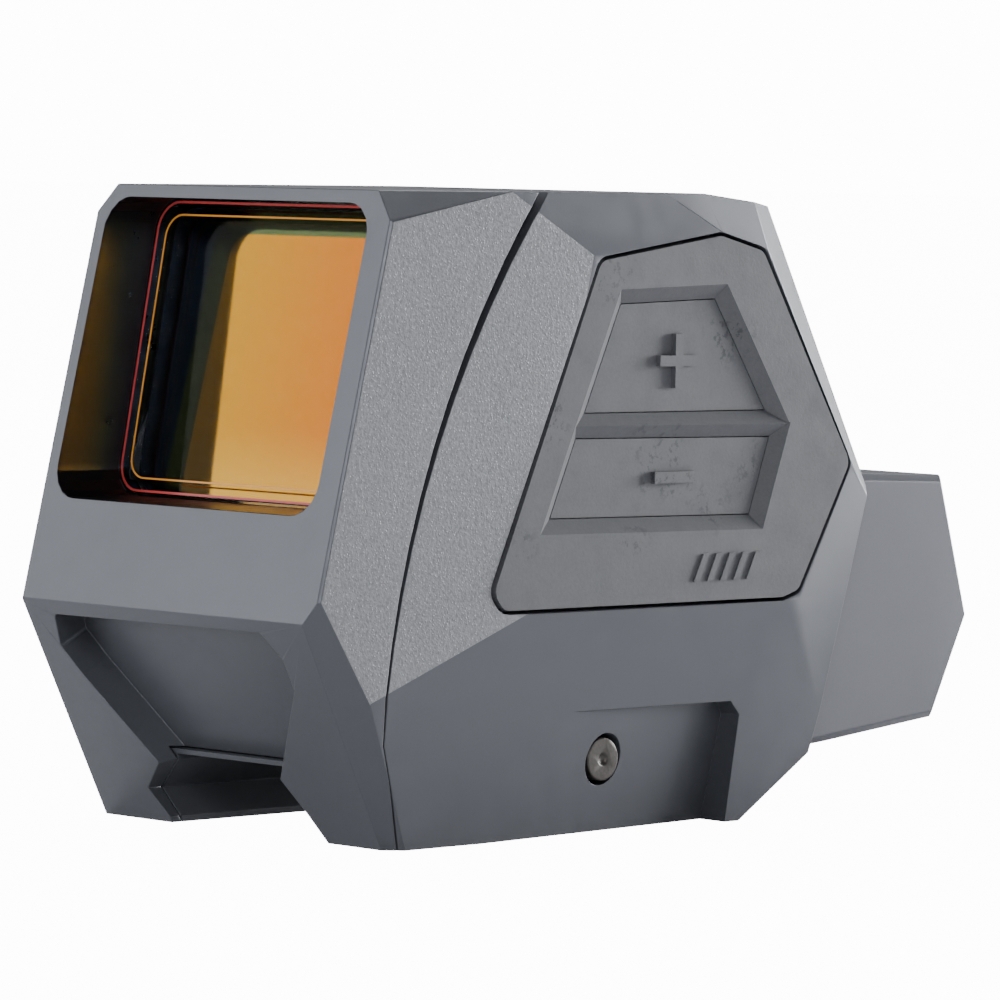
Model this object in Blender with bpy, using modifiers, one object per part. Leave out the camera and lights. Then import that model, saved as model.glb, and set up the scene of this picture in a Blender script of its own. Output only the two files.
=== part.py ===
"""Closed red dot sight with a rail clamp base, modelled as an assembly of separate pieces.

Frame: the origin is the middle of the rail seat face. +Y runs to the rear, towards the eye, +X to the
side with the two keys, +Z up. All named sizes are in millimetres, and MM turns them into metres.
"""
import math

import bmesh
import bpy
from mathutils import Matrix, Vector

MM = 0.001
FIT = 0.12         # tight clearance, for seams that show

# Outer body: side profile as (y, z)
RIDGE = (-41.8, 14.1)
FRONT_TOP = (-32.7, 52.2)
FRONT_FOOT = (-31.0, -6.6)
ROOF_END = (5.6, 52.2)
REAR_SHOULDER = (16.4, 51.05)
REAR_POINT = (28.9, 24.6)
REAR_WAIST = (22.3, -0.6)
REAR_FOOT = (13.6, -6.6)
BODY_MID = 1.0     # the body's middle plane lies this far to the key side of the rail's
SIDE = 22.2        # widest face, where the keys are
FOOT_SIDE = 19.9   # the same side at the foot
FAR_FOOT = -19.2   # the far side at the foot, which leans in less
CREASE_Z = 14.2    # where the flank starts to lean in

# Seam between the bezel and the housing: two arcs that open towards the roof, as (y, z) centres
BEZEL_ARC = (60.3, -3.7, 94.45)
HOUSING_ARC = (59.6, -4.9, 93.7)
SEAM_LOW = (-33.25, 3.0)
SEAM_FOOT = (-29.6, -6.6)

# Optical window
WINDOW_X = (-17.4, 18.1)
WINDOW_Z = (23.4, 51.0)
WINDOW_ROUND = 3.0
LENS_TILT = math.radians(10.5)
LENS_CENTRE = (0.35, -29.2, 37.2)     # middle of the outer glass's front face
GLASS_THICK = 2.3
MIRROR_THICK = 2.6
LENS_STACK = GLASS_THICK + MIRROR_THICK + 0.9

# Tunnel behind the lenses
TUNNEL_X = (-16.4, 13.4)
TUNNEL_Z = (25.2, 49.2)
REAR_OPENING_X = (-14.4, 11.4)
REAR_OPENING = (3.2, 23.6)            # along the sloped rear face, from its upper edge

# Rail clamp
RAIL_TOP = 7.95
RAIL_WIDE = 11.3
BOLT_Y, BOLT_Z = -4.4, 0.2
BOLT_R = 2.0
JAW_Y = (-15.0, 8.0)
JAW_TRAVEL = 2.4
CLAMP_SEAT = -17.3                    # spot face under the clamp screw's head, on the far side
JAW_LUG_X, JAW_LUG_Y, JAW_LUG_TOP = (11.7, 14.0), (-8.4, -0.4), 3.4
BOLT_END = 19.7

# Keypad, as (y, z) corners on the widest face
PAD = [(-8.2, 46.0), (7.45, 48.3), (13.1, 46.9), (25.5, 27.0), (18.7, 15.1), (16.6, 14.5),
       (-19.8, 14.6), (-21.1, 16.2)]
PAD_FLOOR = 19.4
BAY = [(-6.0, 43.2), (7.3, 45.2), (12.0, 44.2), (23.0, 27.2), (17.0, 16.6), (-18.0, 16.6)]
KEY_FACE = 21.25
PLUS_KEY = [(-4.7, 42.0), (7.6, 42.4), (14.5, 32.1), (-9.1, 32.2)]
MINUS_KEY = [(-10.2, 29.8), (15.2, 29.5), (12.7, 22.4), (-13.3, 22.7)]
KEY_BEVEL = 1.35
KEY_FLANGE = 0.8                      # lip behind the pad that holds a key in

# Battery block behind the body, as (y, z)
BLOCK = [(29.75, 25.6), (43.7, 25.1), (47.8, 11.3), (43.0, 1.5), (28.0, -0.1), (22.95, -0.5)]
BLOCK_X = (-16.0, 18.0)
CELL_Y, CELL_Z = 36.2, 11.7
CELL_R, CELL_LENGTH = 7.8, 27.0
TRAY_SCREW = (28.0, 5.4)

PALETTE = {                # colour, metallic, roughness
    "anodised": ((0.115, 0.120, 0.135), 0.55, 0.45),
    "anodised_dark": ((0.045, 0.047, 0.055), 0.55, 0.50),
    "rubber": ((0.085, 0.088, 0.098), 0.0, 0.60),
    "seal": ((0.012, 0.012, 0.014), 0.0, 0.75),
    "glass": ((0.80, 0.86, 0.90), 0.0, 0.03),
    "mirror": ((0.95, 0.40, 0.06), 0.9, 0.05),
    "steel": ((0.42, 0.40, 0.38), 1.0, 0.35),
    "board": ((0.02, 0.13, 0.06), 0.0, 0.50),
    "chip": ((0.02, 0.02, 0.022), 0.0, 0.40),
    "brass": ((0.70, 0.50, 0.20), 1.0, 0.30),
    "cell": ((0.10, 0.20, 0.42), 0.2, 0.35),
    "led": ((0.85, 0.05, 0.03), 0.0, 0.25),
}


def start_scene():
    for item in list(bpy.data.objects):
        bpy.data.objects.remove(item, do_unlink=True)
    for name in ("red_dot_sight", "cutters"):
        bpy.context.scene.collection.children.link(bpy.data.collections.new(name))


def material(name):
    if name not in bpy.data.materials:
        made = bpy.data.materials.new(name)
        made.use_nodes = True
        shader = made.node_tree.nodes["Principled BSDF"]
        colour, metallic, roughness = PALETTE[name]
        shader.inputs["Base Color"].default_value = (*colour, 1.0)
        shader.inputs["Metallic"].default_value = metallic
        shader.inputs["Roughness"].default_value = roughness
    return bpy.data.materials[name]


def add_object(name, mesh, finish=None):
    """Link a mesh as a part, or as a hidden cutter when it has no finish."""
    made = bpy.data.objects.new(name, mesh)
    if finish:
        bpy.data.collections["red_dot_sight"].objects.link(made)
        mesh.materials.append(material(finish))
    else:
        bpy.data.collections["cutters"].objects.link(made)
        made.display_type = "WIRE"
        made.hide_render = True
    return made


def face_outwards(shape):
    bmesh.ops.recalc_face_normals(shape, faces=shape.faces)
    if shape.calc_volume(signed=True) < 0:
        bmesh.ops.reverse_faces(shape, faces=shape.faces)


def from_bmesh(name, shape, finish=None):
    face_outwards(shape)
    mesh = bpy.data.meshes.new(name)
    shape.to_mesh(mesh)
    shape.free()
    return add_object(name, mesh, finish)


def axis_matrix(axis):
    """Turn a shape drawn flat in local XY, with local Z as its depth, onto a world axis."""
    if axis == "X":          # drawn as (y, z), deep along X
        return Matrix(((0, 0, 1, 0), (1, 0, 0, 0), (0, 1, 0, 0), (0, 0, 0, 1)))
    if axis == "Y":          # drawn as (x, z), deep along Y
        return Matrix(((1, 0, 0, 0), (0, 0, -1, 0), (0, 1, 0, 0), (0, 0, 0, 1)))
    return Matrix.Identity(4)


def rounded(points, radius, steps=4):
    """Replace each corner of an outline by an arc of the given radius."""
    result = []
    for index, corner in enumerate(points):
        here = Vector(corner)
        before = (Vector(points[index - 1]) - here).normalized()
        after = (Vector(points[(index + 1) % len(points)]) - here).normalized()
        half = before.angle(after) / 2
        reach = radius / math.tan(half)
        centre = here + (before + after).normalized() * (radius / math.sin(half))
        first, last = here + before * reach - centre, here + after * reach - centre
        for step in range(steps + 1):
            arm = first.lerp(last, step / steps).normalized() * radius
            result.append(tuple(centre + arm))
    return result


def grown(points, amount):
    """Offset an outline outwards, or inwards when the amount is negative."""
    area = sum(p[0] * q[1] - q[0] * p[1] for p, q in zip(points, points[1:] + points[:1]))
    turn = 1.0 if area > 0 else -1.0
    result = []
    for index, corner in enumerate(points):
        here = Vector(corner)
        before = (here - Vector(points[index - 1])).normalized()
        after = (Vector(points[(index + 1) % len(points)]) - here).normalized()
        out_before = Vector((before.y, -before.x)) * turn
        out_after = Vector((after.y, -after.x)) * turn
        bisector = (out_before + out_after).normalized()
        result.append(tuple(here + bisector * (amount / bisector.dot(out_before))))
    return result


def prism_mesh(name, points, low, high, axis):
    """Closed solid of a flat outline between two places along an axis."""
    curve = bpy.data.curves.new(name, "CURVE")
    curve.dimensions = "2D"
    curve.fill_mode = "BOTH"
    curve.extrude = (high - low) / 2 * MM
    spline = curve.splines.new("POLY")
    spline.points.add(len(points) - 1)
    for point, place in zip(spline.points, points):
        point.co = (place[0] * MM, place[1] * MM, 0, 1)
    spline.use_cyclic_u = True
    holder = bpy.data.objects.new(name, curve)
    bpy.data.collections["cutters"].objects.link(holder)
    bpy.context.view_layer.update()
    mesh = bpy.data.meshes.new_from_object(holder.evaluated_get(bpy.context.evaluated_depsgraph_get()))
    bpy.data.objects.remove(holder, do_unlink=True)
    shape = bmesh.new()
    shape.from_mesh(mesh)
    bmesh.ops.remove_doubles(shape, verts=shape.verts, dist=1e-7)
    bmesh.ops.dissolve_limit(shape, angle_limit=math.radians(0.2), verts=shape.verts, edges=shape.edges)
    # a curve's depth runs both ways from its middle; the world Y turn flips it
    middle = Vector((0, 0, (low + high) / 2 * MM * (-1 if axis == "Y" else 1)))
    shape.transform(axis_matrix(axis) @ Matrix.Translation(middle))
    face_outwards(shape)
    shape.to_mesh(mesh)
    shape.free()
    return mesh


def prism(name, points, low, high, axis, finish=None):
    return add_object(name, prism_mesh(name, points, low, high, axis), finish)


def box(name, low, high, finish=None, bevel=0.0):
    """Box between two corners, in millimetres, with its edges optionally bevelled."""
    shape = bmesh.new()
    bmesh.ops.create_cube(shape, size=1.0)
    size = [(b - a) * MM for a, b in zip(low, high)]
    middle = Vector([(a + b) / 2 * MM for a, b in zip(low, high)])
    shape.transform(Matrix.Translation(middle) @ Matrix.Diagonal((*size, 1)))
    made = from_bmesh(name, shape, finish)
    if bevel:
        soften(made, bevel)
    return made


def soften(target, width, segments=1):
    edge = target.modifiers.new("bevel", "BEVEL")
    edge.width = width * MM
    edge.segments = segments
    edge.limit_method = "ANGLE"
    edge.use_clamp_overlap = True


def cylinder(name, radius, start, end, axis, place, finish=None, sides=32, end_radius=None):
    """Round bar or cone along X, Y or Z; place gives the two other coordinates in order."""
    shape = bmesh.new()
    top = radius if end_radius is None else end_radius
    bmesh.ops.create_cone(shape, cap_ends=True, segments=sides, radius1=radius * MM,
                          radius2=top * MM, depth=(end - start) * MM)
    middle = (start + end) / 2
    if axis == "X":
        turn, centre = Matrix.Rotation(math.pi / 2, 4, "Y"), (middle, place[0], place[1])
    elif axis == "Y":
        turn, centre = Matrix.Rotation(-math.pi / 2, 4, "X"), (place[0], middle, place[1])
    else:
        turn, centre = Matrix.Identity(4), (place[0], place[1], middle)
    shape.transform(Matrix.Translation(Vector(centre) * MM) @ turn)
    return from_bmesh(name, shape, finish)


def turned(name, profile, axis, place, finish=None, steps=40):
    """Turned shape: profile is (radius, distance along the axis), outer side first, top to bottom."""
    mesh = bpy.data.meshes.new(name)
    points = [(radius * MM, 0, along * MM) for radius, along in profile]
    count = len(points)
    ring = profile[0][0] > 0
    edges = [(n, n + 1) for n in range(count - 1)] + ([(count - 1, 0)] if ring else [])
    mesh.from_pydata(points, edges, [])
    made = add_object(name, mesh, finish)
    screw = made.modifiers.new("screw", "SCREW")
    screw.steps = steps
    screw.render_steps = steps
    screw.use_merge_vertices = True
    screw.merge_threshold = 1e-6
    weld = made.modifiers.new("weld", "WELD")
    weld.merge_threshold = 1e-6
    if axis == "X":
        made.matrix_world = Matrix.Translation(Vector((0, place[0], place[1])) * MM) @ (
            Matrix.Rotation(math.pi / 2, 4, "Y"))
    else:
        made.location = Vector((place[0], place[1], 0)) * MM
    return made


def boolean(target, operation, *others):
    for other in others:
        step = target.modifiers.new(f"{operation.lower()} {other.name}", "BOOLEAN")
        step.operation = operation
        step.solver = "EXACT"
        step.object = other


def cut(target, *others):
    boolean(target, "DIFFERENCE", *others)


def join(target, *others):
    boolean(target, "UNION", *others)


def keep(target, *others):
    boolean(target, "INTERSECT", *others)


def move(target, matrix):
    """Place a piece that was modelled upright onto its tilted seat."""
    target.matrix_world = matrix @ target.matrix_world


def tilt_about(place, angle):
    """Rotation about a line along X through a point given as (x, y, z)."""
    pivot = Vector(place) * MM
    return Matrix.Translation(pivot) @ Matrix.Rotation(angle, 4, "X") @ Matrix.Translation(-pivot)


# ---------------------------------------------------------------- body shell

def slice_off(shape, first, second, third, core=(BODY_MID, 0, 25)):
    """Cut away what lies beyond the plane of three points, on the side away from the core."""
    first, second, third = Vector(first), Vector(second), Vector(third)
    normal = (second - first).cross(third - first).normalized()
    if (Vector(core) - first).dot(normal) > 0:
        normal = -normal
    everything = shape.verts[:] + shape.edges[:] + shape.faces[:]
    result = bmesh.ops.bisect_plane(shape, geom=everything, plane_co=first * MM, plane_no=normal,
                                    clear_outer=True)
    edges = [item for item in result["geom_cut"] if isinstance(item, bmesh.types.BMEdge)]
    if edges:
        bmesh.ops.contextual_create(shape, geom=edges)


def facets():
    """Planes that both flanks share, each by three points, given for the key side."""
    front_edge_top, front_edge_low = (21.0, -33.4, 49.3), (21.0, -41.25, 16.4)
    pad_corner = (SIDE, -9.2, 46.5)
    shoulder = (SIDE, 7.5, 48.6)
    strip_top, strip_low = (SIDE, 13.7, 47.1), (SIDE, 25.6, 27.0)
    yield front_edge_top, front_edge_low, pad_corner                                   # front flank
    yield (18.65, *FRONT_TOP), (21.1, -33.4, 49.25), (21.7, -18.9, ROOF_END[1])        # roof corner
    yield pad_corner, (21.7, -14.4, ROOF_END[1]), shoulder                             # upper flank
    yield shoulder, (21.6, *ROOF_END), strip_top                                       # shoulder
    yield strip_top, strip_low, (19.5, *REAR_SHOULDER)                                 # rear strip
    yield strip_low, (SIDE, 19.0, CREASE_Z), (21.1, 23.4, 5.2)                         # rear cheek
    yield (20.75, -33.4, 49.3), (20.75, -41.25, 16.4), (21.02, -40.95, 16.4)           # front arris


def key_side_facets():
    yield (SIDE, 0, CREASE_Z), (SIDE, 10, CREASE_Z), (FOOT_SIDE, 0, -6.6)              # lower flank
    yield (19.4, *RIDGE), (21.0, -41.25, 16.4), (FOOT_SIDE, -29.4, -6.6)               # chin corner


def far_side_facets():
    far = 2 * BODY_MID - SIDE
    yield (far, 0, CREASE_Z), (far, 10, CREASE_Z), (FAR_FOOT, 0, -6.6)                 # lower flank
    yield (-18.9, *RIDGE), (-19.0, -41.25, 16.4), (FAR_FOOT, -29.9, -6.6)              # chin corner


def faceted_body(name, finish=None, inset=0.0):
    """The whole outer body before it is split into bezel and housing."""
    outline = [FRONT_FOOT, RIDGE, FRONT_TOP, ROOF_END, REAR_SHOULDER, REAR_POINT, REAR_WAIST, REAR_FOOT]
    width = SIDE - BODY_MID - inset
    mesh = prism_mesh(name, grown(outline, -inset) if inset else outline,
                      BODY_MID - width, BODY_MID + width, "X")
    shape = bmesh.new()
    shape.from_mesh(mesh)
    for plane in facets():
        slice_off(shape, *[(x - inset, y, z) for x, y, z in plane])
        slice_off(shape, *[(2 * BODY_MID - x + inset, y, z) for x, y, z in plane])
    for plane in key_side_facets():
        slice_off(shape, *[(x - inset, y, z) for x, y, z in plane])
    for plane in far_side_facets():
        slice_off(shape, *[(x + inset, y, z) for x, y, z in plane])
    bmesh.ops.dissolve_limit(shape, angle_limit=math.radians(0.2), verts=shape.verts, edges=shape.edges)
    return from_bmesh(name, shape, finish)


def arc_points(arc, z_low, z_high, shift=0.0, steps=14):
    """Points along a seam arc between two heights, from the top down."""
    y, z, radius = arc
    radius += shift
    high, low = math.asin((z_high - z) / radius), math.asin((z_low - z) / radius)
    angles = [high + (low - high) * n / steps for n in range(steps + 1)]
    return [(y - radius * math.cos(a), z + radius * math.sin(a)) for a in angles]


def front_region(name, arc, shift):
    """Everything in front of the seam, as a cutter; shift moves its back face to the rear."""
    back = arc_points(arc, SEAM_LOW[1], 60.0)
    back = back[:-1] + [(SEAM_LOW[0] + shift, SEAM_LOW[1]), (SEAM_FOOT[0] + shift, SEAM_FOOT[1] - 1.0)]
    return prism(name, [(-60.0, 60.0)] + back + [(-60.0, SEAM_FOOT[1] - 1.0)], -40, 40, "X")


def chin_box(name, spare):
    """Block behind the front pocket that belongs to the bezel."""
    return box(name, (-16.4 - spare, -36.0, 0.6 - spare), (16.4 + spare, -28.6 + spare, 14.0 + spare))


def rail_channel(name):
    """Slot of the rail: fixed V on the far leg, plain flare on the near leg, where the jaw works."""
    outline = [(-RAIL_TOP, 0), (-RAIL_TOP, -0.5), (-RAIL_WIDE, -3.4), (-9.7, -6.0), (-9.7, -8),
               (12.2, -8), (10.1, -3.9), (RAIL_TOP, -0.5), (RAIL_TOP, 0)]
    return prism(name, outline, -60, 60, "Y")


def window_outline(grow=0.0):
    (x0, x1), (z0, z1) = WINDOW_X, WINDOW_Z
    corners = [(x0, z0), (x1, z0), (x1, z1), (x0, z1)]
    return rounded(grown(corners, grow), WINDOW_ROUND + grow, 5)


def lens_plate(name, front, thickness, grow, finish=None):
    """Plate parallel to the tilted lens; front is its distance behind the glass's front face."""
    centre_y = LENS_CENTRE[1]
    made = prism(name, window_outline(grow), centre_y + front, centre_y + front + thickness, "Y", finish)
    move(made, tilt_about(LENS_CENTRE, -LENS_TILT))
    return made


def lean(start, end):
    """Unit vector along a straight part of the side profile and the one pointing out of it."""
    along = (Vector(end) - Vector(start)).normalized()
    return along, Vector((-along.y, along.x))


def make_front_bezel():
    bezel = faceted_body("front_bezel", "anodised")
    region = front_region("bezel region", BEZEL_ARC, 0.0)
    join(region, chin_box("bezel chin", 0.0))
    keep(bezel, region)
    hood = prism("hood hollow", window_outline(), -60, -20, "Y")
    keep(hood, lens_plate("hood limit", -60, 60, 30))
    seat = lens_plate("lens seat", -0.2, LENS_STACK + 0.2, 0.25)
    cut(bezel, hood, seat, tunnel_prism("bezel tunnel"), rail_channel("bezel channel"), front_pocket())
    for number, place in enumerate(dowel_places(), 1):
        cut(bezel, cylinder(f"bezel dowel hole {number}", 1.15, -32.6, -20, "Y", place, sides=20))
    return bezel


def tunnel_prism(name):
    """Straight passage for the light behind the lenses."""
    (x0, x1), (z0, z1) = TUNNEL_X, TUNNEL_Z
    return prism(name, rounded([(x0, z0), (x1, z0), (x1, z1), (x0, z1)], 2.5), -27.5, 12, "Y")


def front_pocket():
    """Hollow under the window: its floor is parallel to the leaning chin face."""
    outline = [(-15.0, 12.75), (13.2, 12.95), (14.9, 10.6), (14.9, 7.8), (6.9, -2.6), (-6.9, -2.6),
               (-14.4, 7.2), (-15.9, 9.7)]
    made = prism("front pocket", rounded(outline, 0.5, 3), -2.0, 3.4, "Y")
    # drawn upright at the chin face's middle, then leaned to it
    slope = math.atan2(FRONT_FOOT[0] - RIDGE[0], RIDGE[1] - FRONT_FOOT[1])
    middle_z = 5.0
    face_y = FRONT_FOOT[0] + (RIDGE[0] - FRONT_FOOT[0]) * (middle_z - FRONT_FOOT[1]) / (
        RIDGE[1] - FRONT_FOOT[1])
    pivot = Vector((0, 0, middle_z)) * MM
    stretch = Matrix.Diagonal((1, 1, 1 / math.cos(slope), 1))
    lean_back = Matrix.Rotation(slope, 4, "X")
    place = Matrix.Translation(Vector((0, face_y, middle_z)) * MM)
    made.matrix_world = place @ lean_back @ stretch @ Matrix.Translation(-pivot)
    return made


def dowel_places():
    """Corners of the bezel joint as (x, z)."""
    return [(-16.5, 17.5), (18.5, 17.5), (-16.5, 8.6), (18.2, 8.6)]


def make_main_housing():
    housing = faceted_body("main_housing", "anodised")
    region = front_region("housing region", HOUSING_ARC, FIT)
    cut(housing, region, chin_box("housing chin", FIT))
    entry = lens_plate("lens clearance", -0.4, LENS_STACK + 0.4, 0.45)
    cut(housing, entry, tunnel_prism("housing tunnel"), rear_tunnel(), rear_rebate())
    cut(housing, prism("pad pocket", rounded(grown(PAD, 0.35), 1.7), PAD_FLOOR, 30, "X"))
    cut(housing, prism("board bay", rounded(BAY, 1.0), 14.6, 30, "X"))
    cut(housing, rail_channel("housing channel"))
    cut(housing, jaw_pocket(), side_recess("near recess", 1), side_recess("far recess", -1))
    cut(housing, cylinder("bolt bore", 2.2, -30, 16.0, "X", (BOLT_Y, BOLT_Z)))
    cut(housing, cylinder("bolt spot face", 4.8, -30, CLAMP_SEAT, "X", (BOLT_Y, BOLT_Z)))
    cut(housing, cylinder("bolt end hole", 2.45, 15.5, 30, "X", (BOLT_Y, BOLT_Z)))
    cut(housing, adjuster_hole("Z"), adjuster_hole("X"))
    for number, place in enumerate(dowel_places(), 1):
        cut(housing, cylinder(f"housing dowel hole {number}", 1.15, -40, -26.0, "Y", place, sides=20))
    for number, place in enumerate(block_screw_places(), 1):
        cut(housing, cylinder(f"housing screw hole {number}", 1.25, 18.6, 40, "Y", place, sides=20))
    cut(housing, box("lead passage", (8.0, 17.5, 17.0), (15.2, 32.0, 19.2)))
    return housing


def rear_plane():
    along, out = lean(REAR_SHOULDER, REAR_POINT)
    return Vector(REAR_SHOULDER), along, out


def rear_plate(name, grow, depth_low, depth_high, finish=None):
    """Plate parallel to the sloped rear face, between two depths below it."""
    start, along, out = rear_plane()
    (x0, x1), (a0, a1) = REAR_OPENING_X, REAR_OPENING
    outline = rounded(grown([(x0, a0), (x1, a0), (x1, a1), (x0, a1)], grow), max(2.4 + grow, 0.6))
    mesh = prism_mesh(name, outline, -depth_high, -depth_low, "Z")
    made = add_object(name, mesh, finish)
    # local x stays x, local y runs down the slope, local z points out of the face
    basis = Matrix(((1, 0, 0, 0), (0, along.x, out.x, start.x * MM), (0, along.y, out.y, start.y * MM),
                    (0, 0, 0, 1)))
    made.matrix_world = basis
    return made


def rear_tunnel():
    """Opening through the sloped rear wall."""
    return rear_plate("rear opening", -0.6, -10, 14)


def rear_rebate():
    """Step in the rear wall that takes the window, its gasket and its frame."""
    return rear_plate("rear rebate", 1.4, -10, 4.0)


def jaw_pocket():
    """Room for the jaw and for its lug, with the jaw's travel to the outside."""
    outer = JAW_LUG_X[1] + 0.2 + JAW_TRAVEL
    pocket = box("jaw pocket", (RAIL_TOP, JAW_Y[0] - 0.3, -9), (outer, JAW_Y[1] + 0.3, -0.3))
    join(pocket, box("jaw lug pocket", (JAW_LUG_X[0] - 0.3, JAW_LUG_Y[0] - 0.3, -1.0),
                     (outer, JAW_LUG_Y[1] + 0.3, JAW_LUG_TOP + 0.3)))
    return pocket


def recess_floor(y, z):
    """How far out the recess floor lies: it meets the flank along a slant and deepens to the rear."""
    return 21.17 - 0.10 * (y + 9.8) + 0.20 * (z - 4.9)


def side_recess(name, side):
    """Hollow low on each flank round the clamp screw."""
    outline = [(-9.8, 4.9), (10.9, 4.9), (12.2, 3.6), (11.6, -8.0), (-30.0, -8.0), (-30.0, 4.9)]
    mesh = prism_mesh(name, outline, 0, 10, "X")
    shape = bmesh.new()
    shape.from_mesh(mesh)
    for corner in shape.verts:
        inner = corner.co.x < 5 * MM
        x = recess_floor(corner.co.y / MM, corner.co.z / MM) if inner else 40.0
        corner.co.x = x * MM if side > 0 else (2 * BODY_MID - x) * MM
    return from_bmesh(name, shape)


def adjuster_hole(axis):
    """Stepped hole for the sight's adjusting screws: Z through the roof, X through the far side."""
    place = (-1.5, -2.0) if axis == "Z" else (-2.0, 37.2)
    surface = ROOF_END[1] if axis == "Z" else SIDE - 2 * BODY_MID
    sign = 1 if axis == "Z" else -1
    ends = sorted((sign * (surface - 1.7), sign * (surface + 5)))
    wide = cylinder(f"adjuster well {axis}", 5.3, ends[0], ends[1], axis, place)
    ends = sorted((sign * 13.0, sign * (surface - 1.0)))
    if axis == "Z":
        ends = [46.0, surface - 1.0]
    join(wide, cylinder(f"adjuster bore {axis}", 2.1, ends[0], ends[1], axis, place))
    return wide


def make_gasket():
    """Thin seal that fills the seam, set back from the surface so that the joint reads as a groove."""
    outline = arc_points(BEZEL_ARC, 20.6, 51.4, -0.07) + arc_points(HOUSING_ARC, 20.6, 51.4, 0.07)[::-1]
    seal = prism("body_gasket", outline, BODY_MID - 19.6, BODY_MID + 19.6, "X", "seal")
    hollow = rounded([(-18.0, 21.9), (18.75, 21.9), (18.75, 49.9), (-18.0, 49.9)], 2.0)
    cut(seal, prism("gasket hollow", hollow, -60, 10, "Y"))
    keep(seal, faceted_body("gasket limit", None, 0.45))
    return seal


def make_optics():
    lens_plate("objective_glass", 0.0, GLASS_THICK, 0.0, "glass")
    lens_plate("coated_lens", GLASS_THICK + 0.15, MIRROR_THICK, -0.35, "mirror")
    seal = lens_plate("lens_gasket", GLASS_THICK + MIRROR_THICK + 0.3, 0.5, -0.1, "seal")
    cut(seal, lens_plate("lens gasket hole", 0, 20, -2.0))
    glass = rear_plate("rear_window", 0.8, 1.9, 3.6, "glass")
    seal = rear_plate("rear_window_gasket", 1.1, 3.7, 3.95, "seal")
    cut(seal, rear_plate("rear gasket hole", 0.0, 0, 8))
    frame = rear_plate("rear_window_frame", 1.2, 0.25, 1.8, "anodised_dark")
    cut(frame, rear_plate("rear frame hole", -0.3, -4, 8))
    return glass


# ---------------------------------------------------------------- keypad and electronics

def key_pocket(name, outline):
    """Sloped hollow in the pad: wide at its face, as small as the key at its floor."""
    lower = [Vector(point) for point in outline]
    upper = [Vector(point) for point in grown(outline, KEY_BEVEL)]
    shape = bmesh.new()
    rings = []
    for ring, x in ((lower, KEY_FACE), (upper, SIDE + 0.02)):
        rings.append([shape.verts.new(Vector((x, *point)) * MM) for point in ring])
    for index in range(len(outline)):
        after = (index + 1) % len(outline)
        shape.faces.new((rings[0][index], rings[0][after], rings[1][after], rings[1][index]))
    shape.faces.new(rings[0])
    shape.faces.new(rings[1])
    return from_bmesh(name, shape)


def raised_bar(name, corners):
    """Small raised mark on the rubber, standing on its face."""
    return prism(name, corners, SIDE - 0.6, SIDE + 0.22, "X")


def make_pad():
    pad = prism("button_pad", rounded(PAD, 1.4), PAD_FLOOR + 0.2, SIDE, "X", "rubber")
    for name, outline in (("plus", PLUS_KEY), ("minus", MINUS_KEY)):
        cut(pad, key_pocket(f"{name} slope", grown(outline, 0.1)))
        cut(pad, prism(f"{name} opening", grown(outline, 0.1), 10, KEY_FACE + 0.05, "X"))
        cut(pad, prism(f"{name} undercut", grown(outline, KEY_FLANGE + 0.1), 10, PAD_FLOOR + 0.9, "X"))
    for number in range(5):
        y = 4.4 + 1.75 * number
        bar = [(y, 16.4), (y + 0.75, 16.4), (y + 1.95, 18.9), (y + 1.2, 18.9)]
        join(pad, raised_bar(f"pad bar {number + 1}", bar))
    return pad


def make_key(name, outline, mark):
    """Key plate with its raised sign; the part behind the pad is wider, so it can't fall out."""
    key = prism(f"{name}_key", outline, PAD_FLOOR + 0.2, KEY_FACE, "X", "rubber")
    join(key, prism(f"{name} flange", grown(outline, KEY_FLANGE), PAD_FLOOR + 0.2, PAD_FLOOR + 0.8, "X"))
    for number, (low, high) in enumerate(mark, 1):
        join(key, box(f"{name} sign {number}", (KEY_FACE - 0.3, *low), (KEY_FACE + 0.55, *high)))
    return key


def make_electronics():
    plus_mark = [((0.05, 36.3), (5.05, 37.3)), ((2.05, 34.3), (3.05, 39.3))]
    minus_mark = [((-0.4, 25.55), (4.9, 26.6))]
    make_pad()
    make_key("plus", PLUS_KEY, plus_mark)
    make_key("minus", MINUS_KEY, minus_mark)
    backing = prism("pad_backing_plate", rounded(grown(BAY, -0.5), 1.0), 18.2, 19.0, "X", "steel")
    for name, place in (("plus", (2.6, 37.0)), ("minus", (2.3, 26.1))):
        cut(backing, cylinder(f"{name} backing hole", 2.2, 10, 30, "X", place))
        cylinder(f"{name}_plunger", 1.6, 17.75, 19.3, "X", place, "rubber")
        switch = box(f"{name}_switch", (16.0, place[0] - 3, place[1] - 3),
                     (16.9, place[0] + 3, place[1] + 3), "steel")
        join(switch, cylinder(f"{name} dome", 1.5, 16.8, 17.1, "X", place, sides=24))
    prism("control_board", rounded(grown(BAY, -0.6), 1.0), 14.9, 15.9, "X", "board")
    box("controller_chip", (16.0, -12.0, 17.6), (17.2, -5.0, 21.0), "chip")


# ---------------------------------------------------------------- clamp

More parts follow.
